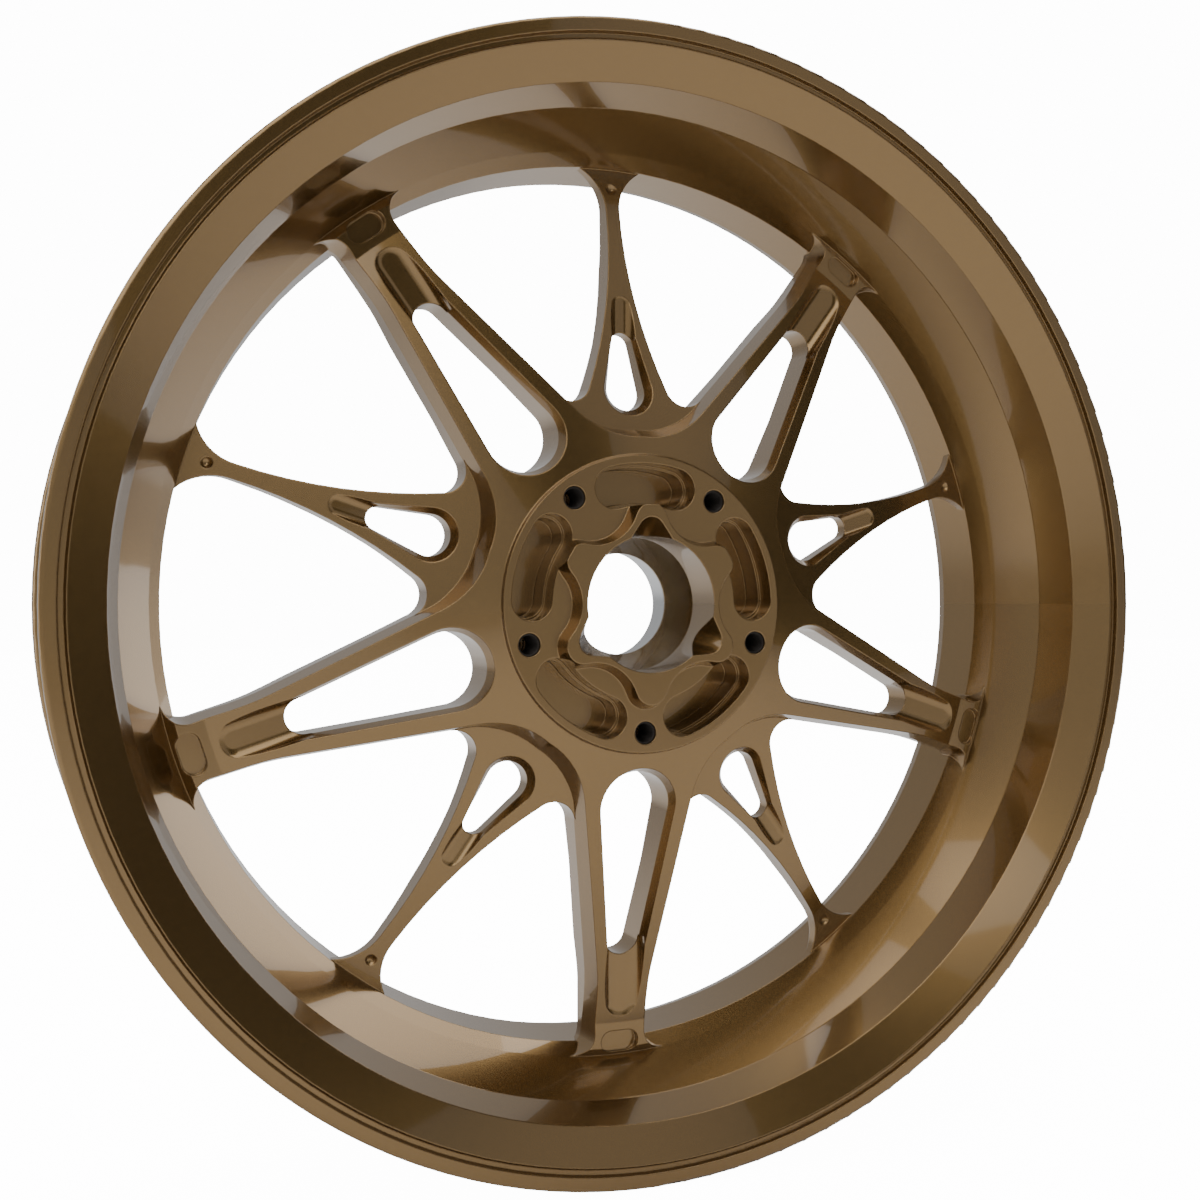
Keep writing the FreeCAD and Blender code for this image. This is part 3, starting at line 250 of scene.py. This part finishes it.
def build_relief(tree):
    come, go = tree.nodes["In"], tree.nodes["Out"]
    place = object_place(tree)
    grain = noise(tree, place, 600.0)
    join(tree, come, "Grain Scale", grain, "Scale")
    grain_height = calculate(tree, "MULTIPLY", (grain, "Fac"), (come, "Grain Height"))
    parts = add(tree, "ShaderNodeSeparateXYZ")
    join(tree, place, "Object", parts, "Vector")
    across = calculate(tree, "MULTIPLY", (parts, "X"), (parts, "X"))
    upward = calculate(tree, "MULTIPLY", (parts, "Z"), (parts, "Z"))
    total = calculate(tree, "ADD", (across, 0), (upward, 0))
    radius = calculate(tree, "SQRT", (total, 0))
    depth_and_radius = calculate(tree, "ADD", (radius, 0), (parts, "Y"))
    turns = calculate(tree, "DIVIDE", (depth_and_radius, 0), (come, "Lathe Pitch"))
    wave = calculate(tree, "SINE", (turns, 0))
    lines = calculate(tree, "MULTIPLY", (wave, 0), (come, "Lathe Height"))
    height = calculate(tree, "ADD", (grain_height, 0), (lines, 0))
    join(tree, height, 0, go, "Bump Height")


build_relief(relief_group)
print("SurfaceRelief has", len(relief_group.nodes), "nodes")

# %% [markdown]
# ## One recipe for every finish
#
# A material is its own Principled shader, fed by the three groups. Plain numbers that
# don't vary are set on the shader itself.

# %%
def group_node(tree, group, **values):
    node = add(tree, "ShaderNodeGroup", node_tree=group)
    for label, value in values.items():
        node.inputs[label.replace("_", " ")].default_value = value
    return node


def make_finish(name, color, metallic, roughness, edge_wear_and_highlight=None, drift=0.08, rough_drift=0.06,
                coat=0.0, wear_and_highlight_amount=0.4, edge=0.0006, grain=600.0, grain_height=0.00001,
                lathe=0.0, lathe_pitch=0.00012):
    """A material for one kind of surface."""
    material = bpy.data.materials.new(name)
    material.use_nodes = True
    tree = material.node_tree
    shader = tree.nodes["Principled BSDF"]
    shader.inputs["Metallic"].default_value = metallic
    shader.inputs["Coat Weight"].default_value = coat
    shader.inputs["Coat Roughness"].default_value = 0.04
    tint = group_node(tree, tint_group, Color=(*color, 1.0), Drift=drift, Roughness=roughness,
                      Roughness_Drift=rough_drift, Grain_Scale=grain * 1.5)
    # The lighter edge colour is partly wear and partly a painted highlight line.
    edges = group_node(tree, edge_wear_and_highlight_group, Worn_Color=(*(edge_wear_and_highlight or color), 1.0), Amount=wear_and_highlight_amount,
                       Radius=edge)
    relief = group_node(tree, relief_group, Grain_Scale=grain, Grain_Height=grain_height,
                        Lathe_Pitch=lathe_pitch, Lathe_Height=lathe)
    bump = add(tree, "ShaderNodeBump")
    bump.inputs["Strength"].default_value = 1.0
    bump.inputs["Distance"].default_value = 1.0
    join(tree, tint, "Base Color", edges, "Color")
    join(tree, edges, "Base Color", shader, "Base Color")
    join(tree, tint, "Roughness", shader, "Roughness")
    join(tree, relief, "Bump Height", bump, "Height")
    join(tree, edges, "Normal", bump, "Normal")
    join(tree, bump, "Normal", shader, "Normal")
    join(tree, bump, "Normal", shader, "Coat Normal")
    return material


finishes = {
    # The golden edge colour on the bronze paint is partly a painted highlight, not only wear.
    "bronze_paint": make_finish("bronze_paint", (0.235, 0.142, 0.050), 0.9, 0.24,
                                edge_wear_and_highlight=(0.34, 0.22, 0.10), drift=0.07, rough_drift=0.03,
                                coat=0.8, wear_and_highlight_amount=0.3, edge=0.0008, grain=260.0,
                                grain_height=0.0000006),
    "bearing_steel": make_finish("bearing_steel", (0.60, 0.61, 0.62), 1.0, 0.22,
                                 edge_wear_and_highlight=(0.75, 0.75, 0.76), lathe=0.0000012),
    "ball_steel": make_finish("ball_steel", (0.78, 0.78, 0.80), 1.0, 0.07, drift=0.03,
                              rough_drift=0.03, grain_height=0.0),
    "cage_brass": make_finish("cage_brass", (0.66, 0.47, 0.20), 1.0, 0.30,
                              edge_wear_and_highlight=(0.8, 0.62, 0.32), lathe=0.0000015),
    "seal_rubber": make_finish("seal_rubber", (0.022, 0.020, 0.019), 0.0, 0.62,
                               edge_wear_and_highlight=(0.05, 0.047, 0.044), grain=900.0, grain_height=0.00002),
    "sleeve_aluminium": make_finish("sleeve_aluminium", (0.70, 0.70, 0.71), 1.0, 0.30,
                                    edge_wear_and_highlight=(0.82, 0.82, 0.82), lathe=0.000002),
    "spring_steel": make_finish("spring_steel", (0.10, 0.10, 0.105), 0.9, 0.42,
                                edge_wear_and_highlight=(0.4, 0.4, 0.4), grain_height=0.000006),
    "insert_steel": make_finish("insert_steel", (0.035, 0.03, 0.026), 0.8, 0.45,
                                edge_wear_and_highlight=(0.10, 0.09, 0.08), lathe=0.000001),
    "valve_metal": make_finish("valve_metal", (0.62, 0.62, 0.64), 1.0, 0.26,
                               edge_wear_and_highlight=(0.8, 0.8, 0.8), grain_height=0.000003),
    "valve_rubber": make_finish("valve_rubber", (0.018, 0.018, 0.018), 0.0, 0.6,
                                edge_wear_and_highlight=(0.05, 0.05, 0.05), grain=1200.0, grain_height=0.00002),
    "valve_brass": make_finish("valve_brass", (0.72, 0.52, 0.22), 1.0, 0.22,
                               edge_wear_and_highlight=(0.85, 0.68, 0.35), grain_height=0.000002),
    "cap_plastic": make_finish("cap_plastic", (0.02, 0.02, 0.022), 0.0, 0.45,
                               edge_wear_and_highlight=(0.07, 0.07, 0.07), grain=1000.0, grain_height=0.000015),
}
print("finishes:", ", ".join(sorted(finishes)))

# %% [markdown]
# ## Dressing the solid parts
#
# The design record says which finish each part has.

# %%
finish_of = {row["node"]: row["material_slot"] for row in frame["record"]["subparts"]}
for node_name, solid in frame["nodes"].items():
    solid.data.materials.clear()
    solid.data.materials.append(finishes[finish_of[node_name]])
print("dressed", len(finish_of), "parts")

# %% [markdown]
# ## Threads and grips
#
# Repeated small features are one shape set out by a Geometry Nodes tree with named
# inputs: how many, how far apart, and round which circle.

# %%
def ring_mesh(name, radius, wire, around=40, across=8):
    """A round-wire ring about the local Z axis."""
    points, faces = [], []
    for i in range(around):
        turn = 2 * math.pi * i / around
        for j in range(across):
            roll = 2 * math.pi * j / across
            reach = radius + wire * math.cos(roll)
            points.append((reach * math.cos(turn), reach * math.sin(turn), wire * math.sin(roll)))
            faces.append((i * across + j,
                          (i + 1) % around * across + j,
                          (i + 1) % around * across + (j + 1) % across,
                          i * across + (j + 1) % across))
    mesh = bpy.data.meshes.new(name)
    mesh.from_pydata(points, [], faces)
    mesh.polygons.foreach_set("use_smooth", [True] * len(mesh.polygons))
    return mesh


def grip_mesh(name, radius, length, width, rise):
    """One rounded rib along local Z at a radius."""
    points, faces = [], []
    steps = 6
    for i in range(steps + 1):
        side = math.pi * i / steps
        x = radius + rise * math.sin(side)
        y = -width / 2 * math.cos(side)
        points.append((x, y, 0.0))
        points.append((x, y, length))
    for i in range(steps):
        a = 2 * i
        faces.append((a, a + 2, a + 3, a + 1))
    mesh = bpy.data.meshes.new(name)
    mesh.from_pydata(points, [], faces)
    mesh.polygons.foreach_set("use_smooth", [True] * len(mesh.polygons))
    return mesh


def repeat_tree(name):
    """Instances along Z, or round Z, with the count and the step as named inputs."""
    tree = bpy.data.node_groups.new(name, "GeometryNodeTree")
    face = tree.interface
    face.new_socket(name="Geometry", in_out="INPUT", socket_type="NodeSocketGeometry")
    for label, kind in (("Count", "NodeSocketInt"), ("Rise", "NodeSocketFloat"),
                        ("Turn", "NodeSocketFloat"), ("Finish", "NodeSocketMaterial")):
        face.new_socket(name=label, in_out="INPUT", socket_type=kind)
    face.new_socket(name="Geometry", in_out="OUTPUT", socket_type="NodeSocketGeometry")
    come = tree.nodes.new("NodeGroupInput")
    go = tree.nodes.new("NodeGroupOutput")
    row = tree.nodes.new("GeometryNodeMeshLine")
    place = tree.nodes.new("GeometryNodeInstanceOnPoints")
    number = tree.nodes.new("GeometryNodeInputIndex")
    angle = tree.nodes.new("ShaderNodeMath")
    angle.operation = "MULTIPLY"
    spin = tree.nodes.new("ShaderNodeCombineXYZ")
    step = tree.nodes.new("ShaderNodeCombineXYZ")
    real = tree.nodes.new("GeometryNodeRealizeInstances")
    paint = tree.nodes.new("GeometryNodeSetMaterial")
    link = tree.links.new
    link(come.outputs["Count"], row.inputs["Count"])
    link(come.outputs["Rise"], step.inputs["Z"])
    link(step.outputs["Vector"], row.inputs["Offset"])
    link(row.outputs["Mesh"], place.inputs["Points"])
    link(come.outputs["Geometry"], place.inputs["Instance"])
    link(number.outputs["Index"], angle.inputs[0])
    link(come.outputs["Turn"], angle.inputs[1])
    link(angle.outputs[0], spin.inputs["Z"])
    link(spin.outputs["Vector"], place.inputs["Rotation"])
    link(place.outputs["Instances"], real.inputs["Geometry"])
    link(real.outputs["Geometry"], paint.inputs["Geometry"])
    link(come.outputs["Finish"], paint.inputs["Material"])
    link(paint.outputs["Geometry"], go.inputs["Geometry"])
    return tree


repeat = repeat_tree("RepeatAlongZ")


def set_out(name, mesh, count, rise, turn, finish):
    """Run the tree on a small shape and keep the result as a plain mesh."""
    seed = bpy.data.objects.new(name + "_seed", mesh)
    bpy.context.scene.collection.objects.link(seed)
    modifier = seed.modifiers.new("repeat", "NODES")
    modifier.node_group = repeat
    values = {"Count": count, "Rise": rise, "Turn": turn, "Finish": finish}
    for item in repeat.interface.items_tree:
        if item.in_out == "INPUT" and item.name in values:
            modifier[item.identifier] = values[item.name]
    graph = bpy.context.evaluated_depsgraph_get()
    graph.update()
    result = bpy.data.meshes.new_from_object(seed.evaluated_get(graph), depsgraph=graph)
    bpy.data.objects.remove(seed)
    result.name = name
    return result


def keep(name, mesh, body, finish):
    piece = bpy.data.objects.new(name, mesh)
    if not mesh.materials:
        mesh.materials.append(finish)
    bpy.context.scene.collection.objects.link(piece)
    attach(piece, body)
    print(name, "faces:", len(mesh.polygons))
    return piece


print("repeat tree ready with", len(repeat.nodes), "nodes")

# %% [markdown]
# ### Thread turns in the five disc inserts
#
# M8 thread, 1.25 mm pitch. Each insert gets twelve closed rings, one pitch apart. A real
# thread is one helix, but at this size the two can't be told apart from outside.

# %%
BOLT_COUNT = 5
BOLT_CIRCLE = 0.0525
FIRST_BOLT = 270.0
BOLT_THREAD_RADIUS = 0.0040
BOLT_THREAD_WIRE = 0.00032
BOLT_THREAD_PITCH = 0.00125
BOLT_THREAD_TURNS = 12
FIRST_TURN_DEPTH = 0.0018


def gather(name, meshes_and_places):
    """Join moved copies of meshes into one mesh."""
    points, faces = [], []
    for mesh, place in meshes_and_places:
        start = len(points)
        points.extend(tuple(place @ vertex.co) for vertex in mesh.vertices)
        faces.extend([start + index for index in side.vertices] for side in mesh.polygons)
    joined = bpy.data.meshes.new(name)
    joined.from_pydata(points, [], faces)
    joined.polygons.foreach_set("use_smooth", [True] * len(joined.polygons))
    return joined


one_turn = ring_mesh("thread_turn", BOLT_THREAD_RADIUS, BOLT_THREAD_WIRE)
turns_mesh = set_out("thread_turns_seed", one_turn, BOLT_THREAD_TURNS, BOLT_THREAD_PITCH, 0.0,
                     finishes["insert_steel"])
into_wheel = Matrix.Rotation(math.radians(-90.0), 4, "X")
bolt_places = []
for hole in range(BOLT_COUNT):
    angle = math.radians(FIRST_BOLT + 360.0 / BOLT_COUNT * hole)
    centre = Vector((BOLT_CIRCLE * math.cos(angle), hub_face + FIRST_TURN_DEPTH,
                     BOLT_CIRCLE * math.sin(angle)))
    bolt_places.append((turns_mesh, Matrix.Translation(centre) @ into_wheel))
keep("disc_insert_thread_turns", gather("disc_insert_thread_turns", bolt_places),
     WHEEL, finishes["insert_steel"])

# %% [markdown]
# ### Thread on the valve stem and ribs on its cap
#
# The stem carries a fine thread from the nut to the cap, and the cap has twenty ribs to
# grip between two fingers. Both start at a distance from the axle, along the valve. A rib
# is an open strip laid on the cap's wall, with no end faces.

# %%
STEM_THREAD_RADIUS = 0.0040
STEM_THREAD_WIRE = 0.00016
STEM_THREAD_PITCH = 0.0008
STEM_THREAD_TURNS = 15
STEM_THREAD_START = 0.1685
RIB_COUNT = 20
RIB_RADIUS = 0.00485
RIB_LENGTH = 0.0085
RIB_WIDTH = 0.0008
RIB_RISE = 0.00035
RIB_START = 0.1584


def along_valve(start):
    """The place on the valve's own line, at a distance from the axle."""
    return Matrix.Translation((0, valve_depth, 0)) @ to_radius @ Matrix.Translation((0, 0, start))


to_radius = Matrix.Rotation(math.radians(90.0) - VALVE_ANGLE, 4, "Y")
stem_ring = ring_mesh("stem_turn", STEM_THREAD_RADIUS, STEM_THREAD_WIRE, around=32)
stem_turns = set_out("stem_turns_seed", stem_ring, STEM_THREAD_TURNS, STEM_THREAD_PITCH, 0.0,
                     finishes["valve_metal"])
stem_places = [(stem_turns, along_valve(STEM_THREAD_START))]
keep("valve_stem_thread_turns", gather("valve_stem_thread_turns", stem_places),
     WHEEL, finishes["valve_metal"])
one_rib = grip_mesh("cap_rib", RIB_RADIUS, RIB_LENGTH, RIB_WIDTH, RIB_RISE)
cap_ribs = set_out("cap_ribs_seed", one_rib, RIB_COUNT, 0.0, 2 * math.pi / RIB_COUNT,
                   finishes["cap_plastic"])
rib_places = [(cap_ribs, along_valve(RIB_START))]
keep("valve_cap_ribs", gather("valve_cap_ribs", rib_places),
     "valve_cap_set", finishes["cap_plastic"])

# %% [markdown]
# ### Spring in the valve core
#
# The spring stands between the pin's collar and the far end of the core, and shortens as
# the pin goes in. A rigid copy would be cut by the collar. This one is the solid part's
# mesh with its doubled points welded.

# %%
WELD_DISTANCE = 0.000001
spring_mesh = frame["nodes"]["valve_core_spring"].data.copy()
welder = bmesh.new()
welder.from_mesh(spring_mesh)
bmesh.ops.remove_doubles(welder, verts=welder.verts, dist=WELD_DISTANCE)
welder.to_mesh(spring_mesh)
welder.free()
spring = keep("valve_spring_coil", spring_mesh, WHEEL, finishes["spring_steel"])
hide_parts("valve_core_spring")
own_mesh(spring)

# %% [markdown]
# ## Floor and studio light
#
# The wheel stands on a plain pale floor. Broad soft boxes light it from above and from
# both sides, and two dark boards give the polished paint something to reflect. The camera
# sees the floor as white, and doesn't see the boards at all.

# %%
def flat_sheet(name, width, depth, place, material):
    """A rectangle facing +Z, moved and turned by a matrix."""
    corners = [(-width / 2, -depth / 2, 0), (width / 2, -depth / 2, 0),
               (width / 2, depth / 2, 0), (-width / 2, depth / 2, 0)]
    mesh = bpy.data.meshes.new(name)
    mesh.from_pydata([tuple(place @ Vector(corner)) for corner in corners], [], [(0, 1, 2, 3)])
    mesh.materials.append(material)
    board = bpy.data.objects.new(name, mesh)
    bpy.context.scene.collection.objects.link(board)
    return board


def plain(name, color, roughness=0.8):
    material = bpy.data.materials.new(name)
    material.use_nodes = True
    shader = material.node_tree.nodes["Principled BSDF"]
    shader.inputs["Base Color"].default_value = (*color, 1.0)
    shader.inputs["Roughness"].default_value = roughness
    return material


def look_at(place, target):
    """A matrix whose -Z axis points from place to target."""
    aim = (Vector(target) - Vector(place)).to_track_quat("-Z", "Y")
    return Matrix.Translation(place) @ aim.to_matrix().to_4x4()


def soft_box(name, place, target, width, height, power):
    light = bpy.data.lights.new(name, "AREA")
    light.shape = "RECTANGLE"
    light.size = width
    light.size_y = height
    light.energy = power
    lamp = bpy.data.objects.new(name, light)
    lamp.matrix_world = look_at(place, target)
    bpy.context.scene.collection.objects.link(lamp)
    return lamp


WHITE_TO_CAMERA = 14.0
CENTRE = (0.0, 0.0, 0.0)
FLOOR_GAP = 0.0005
FLOOR_SIZE = 14.0
paper = plain("floor_paper", (0.9, 0.9, 0.9))
paper_tree = paper.node_tree
paper_shader = paper_tree.nodes["Principled BSDF"]
paper_shader.inputs["Emission Color"].default_value = (1, 1, 1, 1)
paper_rays = add(paper_tree, "ShaderNodeLightPath")
paper_glow = calculate(paper_tree, "MULTIPLY", (paper_rays, "Is Camera Ray"), WHITE_TO_CAMERA)
join(paper_tree, paper_glow, 0, paper_shader, "Emission Strength")
flat_sheet("floor", FLOOR_SIZE, FLOOR_SIZE,
           Matrix.Translation((0, 0, -rim_radius - FLOOR_GAP)), paper)
dark = plain("dark_board", (0.02, 0.018, 0.016))
right_board = flat_sheet("board_right", 0.9, 2.4, look_at((1.35, -0.75, 0.6), CENTRE), dark)
front_board = flat_sheet("board_front", 0.7, 1.6, look_at((0.25, -1.9, 0.9), CENTRE), dark)
right_board.visible_camera = False
front_board.visible_camera = False
soft_box("key_light", (-1.1, -1.5, 1.6), CENTRE, 2.4, 1.8, 22.0)
soft_box("top_light", (0.2, -0.1, 2.0), CENTRE, 2.4, 1.8, 22.0)
soft_box("right_light", (1.6, 0.6, 0.9), CENTRE, 0.9, 2.2, 12.0)
soft_box("left_light", (-1.7, 0.2, 0.5), CENTRE, 0.8, 2.2, 11.0)
print("studio ready")

# %% [markdown]
# ### Air round the wheel
#
# The world gives a soft even fill. To the camera alone it is white, so the far edge of the
# floor doesn't show as a line.

# %%
world = bpy.data.worlds.new("studio")
bpy.context.scene.world = world
world.use_nodes = True
sky = world.node_tree
backdrop = sky.nodes["Background"]
backdrop.inputs["Color"].default_value = (1.0, 1.0, 1.0, 1.0)
backdrop.inputs["Strength"].default_value = 0.52
seen = add(sky, "ShaderNodeBackground")
seen.inputs["Color"].default_value = (1.0, 1.0, 1.0, 1.0)
seen.inputs["Strength"].default_value = WHITE_TO_CAMERA
rays = add(sky, "ShaderNodeLightPath")
choice = add(sky, "ShaderNodeMixShader")
sky.links.new(rays.outputs["Is Camera Ray"], choice.inputs[0])
sky.links.new(backdrop.outputs[0], choice.inputs[1])
sky.links.new(seen.outputs[0], choice.inputs[2])
sky.links.new(choice.outputs[0], sky.nodes["World Output"].inputs["Surface"])
print("world ready")

# %% [markdown]
# ## Camera
#
# Close to the wheel, level with its axle and 21.7 degrees to the left of it.

# %%
CAMERA_TURN = -21.70
lens = bpy.data.cameras.new("camera")
lens.lens = 45.43
lens.sensor_width = 36.0
lens.shift_x = -0.0025
lens.shift_y = 0.0015
lens.clip_start = 0.01
camera = bpy.data.objects.new("camera", lens)
camera.location = (-0.24406, -0.60757, 0.00089)
camera.rotation_euler = (math.radians(90.0), 0.0, math.radians(CAMERA_TURN))
bpy.context.scene.collection.objects.link(camera)
bpy.context.scene.camera = camera
print("camera", tuple(round(v, 4) for v in camera.location))
